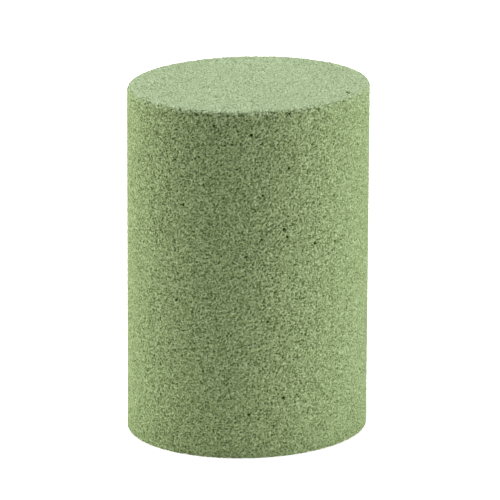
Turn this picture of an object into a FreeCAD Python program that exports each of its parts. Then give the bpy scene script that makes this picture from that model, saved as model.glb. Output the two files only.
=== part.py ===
"""Floral foam cylinder: one plug of open-cell foam that soaks up water and holds flower stems.

The plug is cut from a block of foam, so it is a single homogeneous piece: a round wall between
two flat, parallel ends. The rims are blunt, because the brittle cell walls crumble there: the top
rim the most, because it is the one that hands rub, and the base rim only a little.

Frame: millimetres, +Z up. The origin is the centre of the base that the plug stands on.
"""

import FreeCAD, Part
import Sketcher
import os

OUTPUT_FOLDER = "parts"

# alias, value in millimetres, what the size is
DRIVING_SIZES = [
    ("plug_diameter", 80.0, "diameter of the round wall"),
    ("plug_height", 117.0, "from the base to the top"),
    ("top_rim_radius", 1.5, "how blunt the rubbed top rim is"),
    ("base_rim_radius", 0.4, "how blunt the base rim is"),
]


def add_sizes(doc):
    """The spreadsheet that holds the driving sizes, one row each."""
    sheet = doc.addObject("Spreadsheet::Sheet", "sizes")
    for row, (alias, value, meaning) in enumerate(DRIVING_SIZES, start=1):
        sheet.set(f"A{row}", meaning)
        sheet.set(f"B{row}", str(value))
        sheet.setAlias(f"B{row}", alias)
    doc.recompute()
    return sheet


def base_plane(body, role):
    """One of the body's own origin planes, found by its role."""
    return next(item for item in body.Origin.OriginFeatures if item.Role == role)


def add_wall_circle(body):
    """The plug's outline: one circle about the origin, held there by its constraints."""
    outline = body.newObject("Sketcher::SketchObject", "wall_circle")
    outline.AttachmentSupport = [(base_plane(body, "XY_Plane"), "")]
    outline.MapMode = "FlatFace"

    # The starting radius is only a seed: the diameter constraint sets the real size.
    start_radius = 1.0
    circle = outline.addGeometry(
        Part.Circle(FreeCAD.Vector(0, 0, 0), FreeCAD.Vector(0, 0, 1), start_radius)
    )
    centre_point = 3
    sketch_root, root_point = -1, 1
    outline.addConstraint(
        Sketcher.Constraint("Coincident", circle, centre_point, sketch_root, root_point)
    )
    width = outline.addConstraint(Sketcher.Constraint("Diameter", circle, 2 * start_radius))
    outline.renameConstraint(width, "wall_diameter")
    outline.setExpression("Constraints.wall_diameter", "sizes.plug_diameter")
    return outline


def rim_edge(shape, end):
    """The name of the closed circle where the round wall meets the top or the base."""
    rims = {
        edge.CenterOfMass.z: f"Edge{number}"
        for number, edge in enumerate(shape.Edges, start=1)
        if isinstance(edge.Curve, Part.Circle) and edge.isClosed()
    }
    return rims[max(rims) if end == "top" else min(rims)]


def round_rim(doc, body, feature, end):
    """Rounds the rim at one end of the feature, by that end's own radius in the sheet."""
    rim = body.newObject("PartDesign::Fillet", f"blunt_{end}_rim")
    rim.Base = (feature, [rim_edge(feature.Shape, end)])
    rim.setExpression("Radius", f"sizes.{end}_rim_radius")
    doc.recompute()
    return rim


def add_foam_plug(doc):
    """The whole plug: a padded circle with each rim rounded by its own radius."""
    body = doc.addObject("PartDesign::Body", "foam_plug")
    body.Label = "foam_plug"
    outline = add_wall_circle(body)

    block = body.newObject("PartDesign::Pad", "cut_block")
    block.Profile = outline
    block.setExpression("Length", "sizes.plug_height")
    doc.recompute()

    topped = round_rim(doc, body, block, "top")
    body.Tip = round_rim(doc, body, topped, "base")
    doc.recompute()
    return body


def check(doc, bodies):
    """Stops the build if a feature failed or a body is not one valid solid."""
    for item in doc.Objects:
        if "Invalid" in item.State or "Error" in item.State:
            raise RuntimeError(f"{item.Name} failed: {item.State}")
    for body in bodies:
        if body.Shape.isNull() or not body.Shape.isValid() or len(body.Shape.Solids) != 1:
            raise RuntimeError(f"{body.Label} is not one valid solid")


def export(bodies):
    """Writes each body to a STEP file named after it, and prints its size."""
    os.makedirs(OUTPUT_FOLDER, exist_ok=True)
    cubic_mm_in_cm = 1000.0
    for body in bodies:
        body.Shape.exportStep(os.path.join(OUTPUT_FOLDER, f"{body.Label}.step"))
        box = body.Shape.optimalBoundingBox()
        volume = body.Shape.Volume / cubic_mm_in_cm
        print(f"{body.Label}: {box.XLength:.2f} x {box.YLength:.2f} x {box.ZLength:.2f} mm")
        print(f"{body.Label}: {volume:.1f} cm3")


document = FreeCAD.newDocument("floral_foam_cylinder")
add_sizes(document)
pieces = [add_foam_plug(document)]
check(document, pieces)
export(pieces)
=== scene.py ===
import math

import bpy
from mathutils import Matrix, Vector


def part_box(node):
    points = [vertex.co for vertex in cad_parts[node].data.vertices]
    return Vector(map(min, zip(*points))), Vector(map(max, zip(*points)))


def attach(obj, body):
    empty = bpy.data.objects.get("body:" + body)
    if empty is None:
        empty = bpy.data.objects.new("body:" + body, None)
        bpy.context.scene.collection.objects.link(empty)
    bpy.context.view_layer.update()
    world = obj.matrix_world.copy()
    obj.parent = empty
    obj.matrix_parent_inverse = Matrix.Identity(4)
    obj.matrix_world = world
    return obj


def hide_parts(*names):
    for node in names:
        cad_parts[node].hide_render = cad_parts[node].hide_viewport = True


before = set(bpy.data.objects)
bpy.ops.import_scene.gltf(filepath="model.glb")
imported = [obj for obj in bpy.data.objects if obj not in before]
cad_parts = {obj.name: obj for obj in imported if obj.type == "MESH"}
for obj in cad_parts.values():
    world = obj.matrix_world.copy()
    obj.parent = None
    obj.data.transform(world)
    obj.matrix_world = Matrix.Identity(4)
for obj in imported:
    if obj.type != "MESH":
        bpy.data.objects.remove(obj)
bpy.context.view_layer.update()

# ---------------------------------------------------------------------------------------------
# The foam plug: one cylinder of dry phenolic floral foam, cut from a blown block in one piece.
# The cutter opens every cell that it passes through, so the whole skin is small open pores with
# thin, torn walls between them. Nothing is glued or fixed on.
# ---------------------------------------------------------------------------------------------
MM = 0.001

plug_low, plug_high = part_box("foam_plug")
plug_width = plug_high.x - plug_low.x
plug_height = plug_high.z - plug_low.z
TOP_RIM = 1.5 * MM
BASE_RIM = 0.4 * MM

# The cutter ran a little off square: the top lies this far to one side, for each unit of height.
OFF_SQUARE = 0.0228

# The skin is drawn with squares of this size, small enough to show single pores.
SQUARE_SIZE = 0.25 * MM

# Where in the block the plug was cut. It picks which cells the cutter met.
PLACE_IN_BLOCK = (2.3, 5.1, 7.7)

# Cells that the cutter opened. A radius is a share of the spacing, and so is raggedness, which is how
# far the walls wander. The deepest cells go this many times half the width of their mouths.
CELL_SPACING = 0.7 * MM
CELL_RADIUS = 0.56
CELL_DEPTH = 1.7
CELL_RAGGEDNESS = 0.2

# Stray bubbles, far apart and anywhere in the block. The shift picks which of them the cutter met.
STRAY_SPACING = 13.0 * MM
STRAY_RADIUS = 0.055
STRAY_DEPTH = 1.2
STRAY_RAGGEDNESS = 0.02
STRAY_SHIFT = (0.7, 0.2, 0.1)

# Torn cell walls stand at uneven heights: how far apart the tears lie, and how tall they are in all.
TEAR_SPACING = 0.8 * MM
TEAR_HEIGHT = 0.4 * MM

# Crumbs rubbed off the rims: how far they lie apart, how far in from the corner they reach, and how
# deep they go. They start and are whole at these heights of a soft noise that runs from 0 to 1.
CRUMB_SPACING = 2.2 * MM
CRUMBS_START = 0.52
CRUMBS_WHOLE = 0.8
TOP_CRUMB_REACH = 2.4 * MM
TOP_CRUMB_DEPTH = 0.3 * MM
BASE_CRUMB_REACH = 1.2 * MM
BASE_CRUMB_DEPTH = 0.4 * MM

# The larger voids, where several bubbles ran together as the foam rose.
# Each has its turn round the wall in degrees, its height in mm and its width in mm.
WALL_VOIDS = [
    (1, 109, 1.15), (19, 97.5, 1.15), (33, 71, 1.3), (-1, 68.5, 1.1), (17, 77, 1.3), (18.5, 74.5, 1.1),
    (6, 74, 1.0), (0.5, 15, 1.1), (-16.5, 112, 1.0), (-8, 106, 1.0), (-36, 52.5, 1.1), (6.5, 89, 1.0),
    (-32, 85, 1.0), (17, 20, 1.15), (9, 46.5, 1.0), (24, 20.5, 1.0), (28, 40.5, 1.0),
    (-25, 115.4, 1.0), (-10, 115.5, 0.9), (19, 115.4, 1.0),
]

# One gouge in the top near the rim, from a knock. Its hollows run into each other, and each has its
# turn in degrees, how far from the middle it lies in mm, and its width in mm.
TOP_KNOCKS = [(65.5, 35.2, 1.5), (64.2, 36.1, 1.7), (62.8, 37.0, 1.4)]

# How deep these go, by the same rule as the cells, and how far the edges of their mouths wander.
VOID_DEPTH = 1.6
VOID_RAGGEDNESS = 0.9 * MM

# Dry foam is a pale sage green on its torn walls. Down in a pore it is painted a deep moss green: painted
# shade.
WALL_GREEN = (0.40, 0.51, 0.24, 1.0)
PORE_SHADE_GREEN = (0.098, 0.152, 0.010, 1.0)
FOAM_ROUGHNESS = 0.95
FOAM_SHINE = 0.03

# How deep a pore is before it has all of the painted pore shade, in mm.
FULL_PORE_SHADE_FROM = 0.9

# The finest cells, too small to cut into the skin: their floors get painted shade, and a bump roughens
# how the skin takes the light. Out from a cell's middle, its floor ends and its wall stands at these
# shares of the spacing. Its floor takes this much of the painted pore shade.
FINE_CELL_SPACING = 0.6 * MM
FINE_CELL_FLOOR = 0.1
FINE_CELL_WALL = 0.5
FINE_CELL_SHADE = 0.5
FINE_CELL_DEPTH = 0.25 * MM

# Specks by a soft noise, from a little darker than the foam round them to a good deal paler: partly
# random tone, partly painted highlight and painted shade where torn walls would catch or miss the light.
SPECK_SIZE = 0.6 * MM
SPECK_DARKEST_AT = 0.4
SPECK_PALEST_AT = 0.75
SPECK_DARKER = 0.25
SPECK_PALER = -0.6


def wire(tree, place, value):
    """Feeds one input: from another node's output, or with a plain value."""
    if isinstance(value, bpy.types.NodeSocket):
        tree.links.new(value, place)
    else:
        place.default_value = value


def calc(tree, operation, *terms):
    """One sum on plain numbers or on other nodes' outputs; gives back the answer's output."""
    node = tree.nodes.new("ShaderNodeMath")
    node.operation = operation
    for place, term in zip(node.inputs, terms):
        wire(tree, place, term)
    return node.outputs[0]


def calc_vector(tree, operation, *terms, scale=None):
    """The same on vectors. Length, distance and dot product give a number, the others a vector."""
    node = tree.nodes.new("ShaderNodeVectorMath")
    node.operation = operation
    for place, term in zip(node.inputs, terms):
        wire(tree, place, term)
    if scale is not None:
        wire(tree, node.inputs["Scale"], scale)
    gives_number = operation in ("LENGTH", "DISTANCE", "DOT_PRODUCT")
    return node.outputs["Value" if gives_number else "Vector"]


def join_xyz(tree, x, y, z):
    """A vector put together from its three parts."""
    node = tree.nodes.new("ShaderNodeCombineXYZ")
    for place, part in zip(node.inputs, (x, y, z)):
        wire(tree, place, part)
    return node.outputs[0]


def split_xyz(tree, vector):
    """A vector's three parts."""
    node = tree.nodes.new("ShaderNodeSeparateXYZ")
    wire(tree, node.inputs[0], vector)
    return node.outputs


def choose(tree, when, yes, no):
    """One of two numbers, by a third that is 1 or 0."""
    node = tree.nodes.new("ShaderNodeMix")
    wire(tree, node.inputs["Factor"], when)
    wire(tree, node.inputs["A"], no)
    wire(tree, node.inputs["B"], yes)
    return node.outputs["Result"]


def ramp(tree, value, start, end, low=0.0, high=1.0):
    """Runs smoothly from low to high while value goes from start to end."""
    node = tree.nodes.new("ShaderNodeMapRange")
    node.interpolation_type = "SMOOTHSTEP"
    for name, part in (("Value", value), ("From Min", start), ("From Max", end),
                       ("To Min", low), ("To Max", high)):
        wire(tree, node.inputs[name], part)
    return node.outputs["Result"]


def noise(tree, where, size, detail=2.0, roughness=0.5, output="Fac"):
    """Soft random variation, about size from one bump to the next."""
    node = tree.nodes.new("ShaderNodeTexNoise")
    wire(tree, node.inputs["Vector"], where)
    wire(tree, node.inputs["Scale"], 1.0 / size)
    node.inputs["Detail"].default_value = detail
    node.inputs["Roughness"].default_value = roughness
    return node.outputs[output]


def wobbly(tree, where, size, reach):
    """A place moved about at random, so that what is drawn from it has a ragged edge."""
    even = (0.5, 0.5, 0.5)
    wobble = calc_vector(tree, "SUBTRACT", noise(tree, where, size, output="Color"), even)
    return calc_vector(tree, "ADD", where, calc_vector(tree, "SCALE", wobble, scale=reach))


def new_tree(name, inputs, outputs):
    """An empty Geometry Nodes tree with named inputs and outputs, and the sockets at its two ends."""
    tree = bpy.data.node_groups.new(name, "GeometryNodeTree")
    for way, sockets in (("INPUT", inputs), ("OUTPUT", outputs)):
        for label, socket_type in sockets:
            tree.interface.new_socket(label, in_out=way, socket_type=socket_type)
    return tree, tree.nodes.new("NodeGroupInput").outputs, tree.nodes.new("NodeGroupOutput").inputs


def bowl_depth(tree, reach, sideways, mouth):
    """A rounded hollow: reach deep at its middle and nothing from the edge of its mouth outwards."""
    smallest_mouth = 1e-6
    share = calc(tree, "DIVIDE", sideways, calc(tree, "MAXIMUM", mouth, smallest_mouth))
    left = calc(tree, "MAXIMUM", calc(tree, "SUBTRACT", 1.0, calc(tree, "MULTIPLY", share, share)), 0.0)
    return calc(tree, "MULTIPLY", reach, calc(tree, "SQRT", left))


def make_cut_cells():
    """Round cells packed at random through the block, and how deep the cutter left each one open.

    A cell whose middle was cut away leaves a shallow dish, and one whose middle is still inside
    leaves a deep hollow with a narrower mouth.
    """
    tree, given, gives = new_tree(
        "cut cells",
        [("Position", "NodeSocketVector"), ("Outward", "NodeSocketVector"),
         ("Spacing", "NodeSocketFloat"), ("Cell Radius", "NodeSocketFloat"),
         ("Depth To Mouth", "NodeSocketFloat"), ("Raggedness", "NodeSocketFloat")],
        [("Depth", "NodeSocketFloat")])
    spacing = given["Spacing"]
    in_cells = calc_vector(tree, "DIVIDE", given["Position"], join_xyz(tree, spacing, spacing, spacing))
    wobble_size = 0.8
    ragged = wobbly(tree, in_cells, wobble_size, given["Raggedness"])

    cells = tree.nodes.new("ShaderNodeTexVoronoi")
    cells.inputs["Scale"].default_value = 1.0
    wire(tree, cells.inputs["Vector"], ragged)
    from_middle = calc_vector(tree, "SUBTRACT", ragged, cells.outputs["Position"])

    # Cells differ in size: each one's own random number takes up to a third off its radius.
    own_number = split_xyz(tree, cells.outputs["Color"])[0]
    smallest_share = 0.66
    share = ramp(tree, own_number, 0.0, 1.0, smallest_share, 1.0)
    radius = calc(tree, "MULTIPLY", given["Cell Radius"], share)

    middle_inside = calc_vector(tree, "DOT_PRODUCT", from_middle, given["Outward"])
    sideways = calc_vector(tree, "LENGTH", calc_vector(
        tree, "SUBTRACT", from_middle, calc_vector(tree, "SCALE", given["Outward"], scale=middle_inside)))
    mouth = calc(tree, "SQRT", calc(tree, "MAXIMUM", calc(
        tree, "SUBTRACT", calc(tree, "MULTIPLY", radius, radius),
        calc(tree, "MULTIPLY", middle_inside, middle_inside)), 0.0))
    whole = calc(tree, "ADD", middle_inside, radius)
    reach = calc(tree, "MINIMUM", whole, calc(tree, "MULTIPLY", mouth, given["Depth To Mouth"]))
    depth = bowl_depth(tree, calc(tree, "MAXIMUM", reach, 0.0), sideways, mouth)
    wire(tree, gives["Depth"], calc(tree, "MULTIPLY", depth, spacing))
    return tree


def cut_cells(tree, group, where, outward, spacing, cell_radius, depth_to_mouth, raggedness):
    """One set of cells, all of about the same size, and how deep they are at this place."""
    node = tree.nodes.new("GeometryNodeGroup")
    node.node_tree = group
    for name, value in (("Position", where), ("Outward", outward), ("Spacing", spacing),
                        ("Cell Radius", cell_radius), ("Depth To Mouth", depth_to_mouth),
                        ("Raggedness", raggedness)):
        wire(tree, node.inputs[name], value)
    return node.outputs["Depth"]


def void_depth(tree, where, marks):
    """How deep the nearest marked void goes here. Each mark is a point that knows its own width."""
    place = tree.nodes.new("GeometryNodeInputPosition").outputs[0]
    nearest = tree.nodes.new("GeometryNodeSampleNearest")
    nearest.domain = "POINT"
    wire(tree, nearest.inputs["Geometry"], marks)
    wire(tree, nearest.inputs["Sample Position"], where)

    def ask(kind, value):
        node = tree.nodes.new("GeometryNodeSampleIndex")
        node.data_type = kind
        wire(tree, node.inputs["Geometry"], marks)
        wire(tree, node.inputs["Value"], value)
        wire(tree, node.inputs["Index"], nearest.outputs[0])
        return node.outputs[0]

    width = tree.nodes.new("GeometryNodeInputNamedAttribute")
    width.data_type = "FLOAT"
    width.inputs["Name"].default_value = "void_width"
    mouth = calc(tree, "DIVIDE", ask("FLOAT", width.outputs[0]), 2.0)
    ragged = wobbly(tree, where, VOID_RAGGEDNESS, VOID_RAGGEDNESS)
    sideways = calc_vector(tree, "DISTANCE", ragged, ask("FLOAT_VECTOR", place))
    return bowl_depth(tree, calc(tree, "MULTIPLY", mouth, VOID_DEPTH), sideways, mouth)


def rim_crumble(tree, skin, given, rim_height, reach, deepest):
    """Bits broken off within reach of the corner at rim_height, up to deepest."""
    x, y, z = split_xyz(tree, skin)
    from_axis = calc_vector(tree, "LENGTH", join_xyz(tree, x, y, 0.0))
    inward = calc(tree, "SUBTRACT", calc(tree, "DIVIDE", given["Diameter"], 2.0), from_axis)
    from_corner = calc_vector(
        tree, "LENGTH", join_xyz(tree, inward, calc(tree, "SUBTRACT", z, rim_height), 0.0))
    full_reach = 0.25 * reach
    near = ramp(tree, from_corner, reach, full_reach)
    broken = ramp(tree, noise(tree, skin, CRUMB_SPACING, detail=1.0), CRUMBS_START, CRUMBS_WHOLE)
    return calc(tree, "MULTIPLY", calc(tree, "MULTIPLY", near, broken), deepest)


def rounded_cylinder(tree, given):
    """A closed skin of even squares, laid on a cylinder with blunt rims.

    It starts as a square box of squares. The box is made round ring by ring, so that no squares
    crowd together at the middle of either end.
    """
    radius = calc(tree, "DIVIDE", given["Diameter"], 2.0)
    quarter_turn = calc(tree, "MULTIPLY", radius, math.pi / 2)
    across = calc(tree, "CEIL", calc(tree, "DIVIDE", quarter_turn, given["Square Size"]))
    up = calc(tree, "CEIL", calc(tree, "DIVIDE", given["Height"], given["Square Size"]))

    # The box reaches 1 each way from the axis, and from -0.5 to 0.5 up it.
    box = tree.nodes.new("GeometryNodeMeshCube")
    box.inputs["Size"].default_value = (2.0, 2.0, 1.0)
    for name, squares in (("Vertices X", across), ("Vertices Y", across), ("Vertices Z", up)):
        wire(tree, box.inputs[name], calc(tree, "ADD", squares, 1.0))

    x, y, z = split_xyz(tree, tree.nodes.new("GeometryNodeInputPosition").outputs[0])
    wide = calc(tree, "GREATER_THAN", calc(tree, "ABSOLUTE", x), calc(tree, "ABSOLUTE", y))
    long_side = choose(tree, wide, x, y)
    short_side = choose(tree, wide, y, x)
    turn = calc(tree, "MULTIPLY", calc(tree, "DIVIDE", short_side, long_side), math.pi / 4)
    along = calc(tree, "MULTIPLY", calc(tree, "COSINE", turn), calc(tree, "SIGN", long_side))
    beside = calc(tree, "MULTIPLY", calc(tree, "SINE", turn), calc(tree, "SIGN", long_side))
    to_x = choose(tree, wide, along, beside)
    to_y = choose(tree, wide, beside, along)

    from_axis = calc(tree, "MULTIPLY", calc(tree, "ABSOLUTE", long_side), radius)
    height = calc(tree, "MULTIPLY", calc(tree, "ADD", z, 0.5), given["Height"])
    rim = choose(tree, calc(tree, "GREATER_THAN", z, 0.0), given["Top Rim"], given["Base Rim"])
    core_from_axis = calc(tree, "MINIMUM", from_axis, calc(tree, "SUBTRACT", radius, rim))
    core_height = calc(tree, "MINIMUM", calc(tree, "MAXIMUM", height, rim),
                       calc(tree, "SUBTRACT", given["Height"], rim))
    out = calc(tree, "SUBTRACT", from_axis, core_from_axis)
    lift = calc(tree, "SUBTRACT", height, core_height)
    outward = calc_vector(tree, "NORMALIZE", join_xyz(
        tree, calc(tree, "MULTIPLY", to_x, out), calc(tree, "MULTIPLY", to_y, out), lift))
    core = join_xyz(tree, calc(tree, "MULTIPLY", to_x, core_from_axis),
                    calc(tree, "MULTIPLY", to_y, core_from_axis), core_height)
    skin = calc_vector(tree, "ADD", core, calc_vector(tree, "SCALE", outward, scale=rim))
    return box.outputs["Mesh"], skin, outward


def make_foam_plug_shape():
    """The whole plug: its skin, opened into cells, torn, crumbled and leaned over."""
    tree, given, gives = new_tree(
        "foam plug shape",
        [("Diameter", "NodeSocketFloat"), ("Height", "NodeSocketFloat"),
         ("Top Rim", "NodeSocketFloat"), ("Base Rim", "NodeSocketFloat"),
         ("Off Square", "NodeSocketFloat"), ("Square Size", "NodeSocketFloat"),
         ("Cell Spacing", "NodeSocketFloat"), ("Seed", "NodeSocketVector"),
         ("Void Marks", "NodeSocketObject"), ("Foam", "NodeSocketMaterial")],
        [("Plug", "NodeSocketGeometry")])
    box, skin, outward = rounded_cylinder(tree, given)
    where = calc_vector(tree, "ADD", skin, given["Seed"])

    cells = make_cut_cells()
    small = cut_cells(tree, cells, where, outward, given["Cell Spacing"], CELL_RADIUS,
                      CELL_DEPTH, CELL_RAGGEDNESS)
    stray = cut_cells(tree, cells, calc_vector(tree, "ADD", where, STRAY_SHIFT), outward,
                      STRAY_SPACING, STRAY_RADIUS, STRAY_DEPTH, STRAY_RAGGEDNESS)
    marks = tree.nodes.new("GeometryNodeObjectInfo")
    wire(tree, marks.inputs["Object"], given["Void Marks"])
    marked = void_depth(tree, skin, marks.outputs["Geometry"])

    torn = calc(tree, "MULTIPLY", calc(
        tree, "SUBTRACT", noise(tree, where, TEAR_SPACING, detail=0.0), 0.5), TEAR_HEIGHT)
    crumbled = calc(
        tree, "ADD",
        rim_crumble(tree, skin, given, given["Height"], TOP_CRUMB_REACH, TOP_CRUMB_DEPTH),
        rim_crumble(tree, skin, given, 0.0, BASE_CRUMB_REACH, BASE_CRUMB_DEPTH))
    depth = calc(tree, "ADD", calc(tree, "ADD", torn, crumbled),
                 calc(tree, "MAXIMUM", small, calc(tree, "MAXIMUM", stray, marked)))

    sunk = calc_vector(tree, "SUBTRACT", skin, calc_vector(tree, "SCALE", outward, scale=depth))
    x, y, z = split_xyz(tree, sunk)
    over_middle = calc(tree, "SUBTRACT", z, calc(tree, "DIVIDE", given["Height"], 2.0))
    lean = calc(tree, "MULTIPLY", over_middle, given["Off Square"])

    # The plug's weight presses the torn walls of its base flat against what it stands on.
    pressed = calc(tree, "MAXIMUM", z, 0.0)
    leaning = join_xyz(tree, calc(tree, "ADD", x, lean), y, pressed)

    # Each point keeps its depth in mm, because the colour's painted pore shade reads it.
    keep = tree.nodes.new("GeometryNodeStoreNamedAttribute")
    keep.data_type = "FLOAT"
    keep.domain = "POINT"
    wire(tree, keep.inputs["Geometry"], box)
    keep.inputs["Name"].default_value = "pore_depth"
    wire(tree, keep.inputs["Value"], calc(tree, "DIVIDE", depth, MM))

    move = tree.nodes.new("GeometryNodeSetPosition")
    wire(tree, move.inputs["Geometry"], keep.outputs["Geometry"])
    wire(tree, move.inputs["Position"], leaning)
    smooth = tree.nodes.new("GeometryNodeSetShadeSmooth")
    wire(tree, smooth.inputs["Geometry"], move.outputs["Geometry"])
    real = tree.nodes.new("GeometryNodeRealizeInstances")
    wire(tree, real.inputs["Geometry"], smooth.outputs["Geometry"])
    finish = tree.nodes.new("GeometryNodeSetMaterial")
    wire(tree, finish.inputs["Geometry"], real.outputs["Geometry"])
    wire(tree, finish.inputs["Material"], given["Foam"])
    wire(tree, gives["Plug"], finish.outputs["Geometry"])
    return tree


def make_foam():
    """Dry floral foam: matt sage green, painted shade down in the pores, and specks of random tone and
    painted highlight.
    """
    foam = bpy.data.materials.new("floral_foam")
    foam.use_nodes = True
    tree = foam.node_tree
    shader = tree.nodes["Principled BSDF"]
    shader.inputs["Roughness"].default_value = FOAM_ROUGHNESS
    shader.inputs["Specular IOR Level"].default_value = FOAM_SHINE

    place = tree.nodes.new("ShaderNodeTexCoord").outputs["Object"]
    # Painted shade: the deeper a point lies in a pore, the more of the pore shade green it takes.
    depth = tree.nodes.new("ShaderNodeAttribute")
    depth.attribute_name = "pore_depth"
    pore_shade = ramp(tree, depth.outputs["Fac"], 0.0, FULL_PORE_SHADE_FROM)

    fine = tree.nodes.new("ShaderNodeTexVoronoi")
    wire(tree, fine.inputs["Vector"], place)
    fine.inputs["Scale"].default_value = 1.0 / FINE_CELL_SPACING
    fine_pit = ramp(tree, fine.outputs["Distance"], FINE_CELL_WALL, FINE_CELL_FLOOR)
    # Painted shade on the floors of the finest cells.
    fine_pit_shade = calc(tree, "MULTIPLY", fine_pit, FINE_CELL_SHADE)

    # Specks: random tone, with painted highlights and painted shade standing in for lit and unlit torn
    # walls.
    speck_noise = noise(tree, place, SPECK_SIZE, detail=1.0, roughness=0.8)
    speck_and_glint = ramp(tree, speck_noise, SPECK_DARKEST_AT, SPECK_PALEST_AT, SPECK_DARKER, SPECK_PALER)

    # The foam's own sage green, pulled towards the pore shade green by painted shade and by the specks.
    colour = tree.nodes.new("ShaderNodeMix")
    colour.data_type = "RGBA"
    colour.clamp_factor = False
    wire(tree, colour.inputs["Factor"], calc(tree, "ADD", calc(tree, "ADD", pore_shade, fine_pit_shade), speck_and_glint))
    colour.inputs["A"].default_value = WALL_GREEN
    colour.inputs["B"].default_value = PORE_SHADE_GREEN
    wire(tree, shader.inputs["Base Color"], colour.outputs["Result"])

    bump = tree.nodes.new("ShaderNodeBump")
    bump.inputs["Strength"].default_value = 1.0
    bump.inputs["Distance"].default_value = FINE_CELL_DEPTH
    wire(tree, bump.inputs["Height"], calc(tree, "SUBTRACT", 1.0, fine_pit))
    wire(tree, shader.inputs["Normal"], bump.outputs["Normal"])
    return foam


def mark_voids():
    """Points on the skin at the larger voids and the gouge, each with its width."""
    def place(turn, from_axis, height):
        angle = math.radians(turn)
        return (from_axis * math.sin(angle), -from_axis * math.cos(angle), height)

    wall = [place(turn, plug_width / 2, height * MM) for turn, height, width in WALL_VOIDS]
    top = [place(turn, from_axis * MM, plug_height) for turn, from_axis, width in TOP_KNOCKS]
    marks = bpy.data.meshes.new("void_marks")
    marks.from_pydata(wall + top, [], [])
    widths = marks.attributes.new("void_width", "FLOAT", "POINT")
    for mark, (turn, distance, width) in zip(widths.data, WALL_VOIDS + TOP_KNOCKS):
        mark.value = width * MM
    return bpy.data.objects.new("void_marks", marks)


foam_shape = make_foam_plug_shape()
void_marks = mark_voids()
bpy.context.scene.collection.objects.link(void_marks)

maker = bpy.data.objects.new("foam_maker", bpy.data.meshes.new("foam_maker"))
bpy.context.scene.collection.objects.link(maker)
growth = maker.modifiers.new("foam", "NODES")
growth.node_group = foam_shape
foam_sizes = {
    "Diameter": plug_width, "Height": plug_height, "Top Rim": TOP_RIM, "Base Rim": BASE_RIM,
    "Off Square": OFF_SQUARE, "Square Size": SQUARE_SIZE, "Cell Spacing": CELL_SPACING,
    "Seed": PLACE_IN_BLOCK, "Void Marks": void_marks, "Foam": make_foam(),
}
for socket in foam_shape.interface.items_tree:
    if socket.in_out == "INPUT":
        growth[socket.identifier] = foam_sizes[socket.name]
grown = maker.evaluated_get(bpy.context.evaluated_depsgraph_get())
foam_mesh = bpy.data.meshes.new_from_object(grown)
foam_mesh.name = "floral_foam_plug"
foam_plug = bpy.data.objects.new("floral_foam_plug", foam_mesh)
bpy.context.scene.collection.objects.link(foam_plug)
for helper in (maker, void_marks):
    bpy.data.objects.remove(helper)

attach(foam_plug, "root")
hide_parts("foam_plug")

# ---------------------------------------------------------------------------------------------
# The floor: a plain pale sheet that the plug stands on. It throws warm light up into the pores,
# and it glows, more so away from the plug, so that it runs into the room with no edge.
# ---------------------------------------------------------------------------------------------
FLOOR_HALF = 6.0
FLOOR_COLOUR = (0.9, 0.9, 0.72, 1.0)
FLOOR_ROUGHNESS = 0.9
FLOOR_GLOW = 0.12

# How much brighter the floor looks than its own glow makes it, close to the plug and far off.
BRIGHTER_NEAR = 0.42
BRIGHTER_FAR = 1.0
NEAR_ENDS = 0.15
FAR_STARTS = 0.6

floor_mesh = bpy.data.meshes.new("floor")
floor_mesh.from_pydata(
    [(-FLOOR_HALF, -FLOOR_HALF, 0), (FLOOR_HALF, -FLOOR_HALF, 0), (FLOOR_HALF, FLOOR_HALF, 0),
     (-FLOOR_HALF, FLOOR_HALF, 0)], [], [(0, 1, 2, 3)])
floor = bpy.data.objects.new("floor", floor_mesh)
bpy.context.scene.collection.objects.link(floor)

pale = bpy.data.materials.new("pale_floor")
pale.use_nodes = True
pale_tree = pale.node_tree
pale_shader = pale_tree.nodes["Principled BSDF"]
pale_shader.inputs["Base Color"].default_value = FLOOR_COLOUR
pale_shader.inputs["Roughness"].default_value = FLOOR_ROUGHNESS
pale_shader.inputs["Emission Color"].default_value = (1.0, 1.0, 1.0, 1.0)
from_plug = calc_vector(pale_tree, "LENGTH", pale_tree.nodes.new("ShaderNodeTexCoord").outputs["Object"])
brighter = ramp(pale_tree, from_plug, NEAR_ENDS, FAR_STARTS, BRIGHTER_NEAR, BRIGHTER_FAR)
looked_at = pale_tree.nodes.new("ShaderNodeLightPath").outputs["Is Camera Ray"]
glow = calc(pale_tree, "ADD", calc(pale_tree, "MULTIPLY", looked_at, brighter), FLOOR_GLOW)
wire(pale_tree, pale_shader.inputs["Emission Strength"], glow)
floor_mesh.materials.append(pale)

# ---------------------------------------------------------------------------------------------
# Studio light: one soft box at each side and one overhead. The room is white to look at but gives
# no light of its own, so the front of the plug falls into soft shade between the side boxes.
# ---------------------------------------------------------------------------------------------
room = bpy.data.worlds.new("pale_room")
room.use_nodes = True
backdrop = room.node_tree.nodes["Background"]
backdrop.inputs["Color"].default_value = (1.0, 1.0, 1.0, 1.0)
room_looked_at = room.node_tree.nodes.new("ShaderNodeLightPath").outputs["Is Camera Ray"]
wire(room.node_tree, backdrop.inputs["Strength"], room_looked_at)
bpy.context.scene.world = room
bpy.context.scene.view_settings.view_transform = "Standard"

plug_middle = Vector((0.0, 0.0, plug_height / 2))


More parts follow.
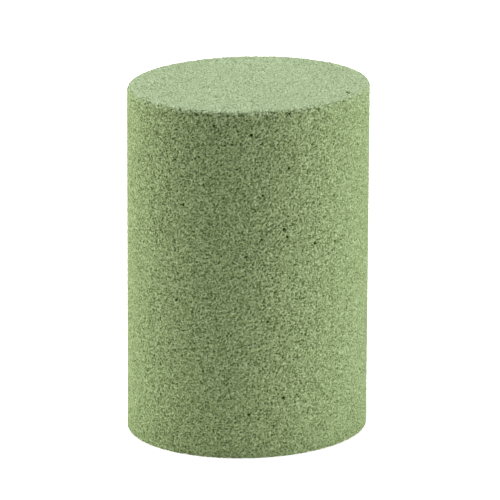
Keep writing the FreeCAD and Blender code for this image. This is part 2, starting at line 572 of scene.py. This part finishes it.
def soft_box(name, turn, lift, distance, size, power, colour):
    """A square light turned round the plug from the front, lifted above level, aimed at its middle."""
    lamp = bpy.data.lights.new(name, "AREA")
    lamp.shape = "SQUARE"
    lamp.size = size
    lamp.energy = power
    lamp.color = colour
    holder = bpy.data.objects.new(name, lamp)
    bpy.context.scene.collection.objects.link(holder)
    flat = distance * math.cos(math.radians(lift))
    away = Vector((flat * math.sin(math.radians(turn)), -flat * math.cos(math.radians(turn)),
                   distance * math.sin(math.radians(lift))))
    holder.location = plug_middle + away
    holder.rotation_euler = away.to_track_quat("Z", "Y").to_euler()


soft_box("right_box", turn=81, lift=15, distance=1.0, size=0.85, power=8.6, colour=(1.0, 1.0, 1.12))
soft_box("left_box", turn=-110, lift=15, distance=1.0, size=0.75, power=10.0, colour=(1.0, 1.0, 1.04))
soft_box("top_box", turn=0, lift=89, distance=1.0, size=0.35, power=8.3, colour=(1.03, 1.0, 1.4))

# ---------------------------------------------------------------------------------------------
# The camera: a long lens, a step back and a little above, turned slightly off level.
# ---------------------------------------------------------------------------------------------
CAMERA_DISTANCE = 1.552
CAMERA_LIFT = math.radians(15.48)
CAMERA_ROLL = math.radians(-1.1)
LENS_MM = 336.0
SENSOR_MM = 36.0
FARTHEST_SEEN = 50.0

# The camera looks at a point a hair off the plug's middle.
AIM_OFF_MIDDLE = Vector((0.8 * MM, 0.0, 1.35 * MM))

lens = bpy.data.cameras.new("camera")
lens.sensor_width = SENSOR_MM
lens.lens = LENS_MM
lens.clip_end = FARTHEST_SEEN
camera = bpy.data.objects.new("camera", lens)
bpy.context.scene.collection.objects.link(camera)
back = Vector((0.0, -math.cos(CAMERA_LIFT), math.sin(CAMERA_LIFT)))
aim = plug_middle + AIM_OFF_MIDDLE
camera.matrix_world = (
    Matrix.Translation(aim + back * CAMERA_DISTANCE)
    @ back.to_track_quat("Z", "Y").to_matrix().to_4x4()
    @ Matrix.Rotation(CAMERA_ROLL, 4, "Z")
)
bpy.context.scene.camera = camera
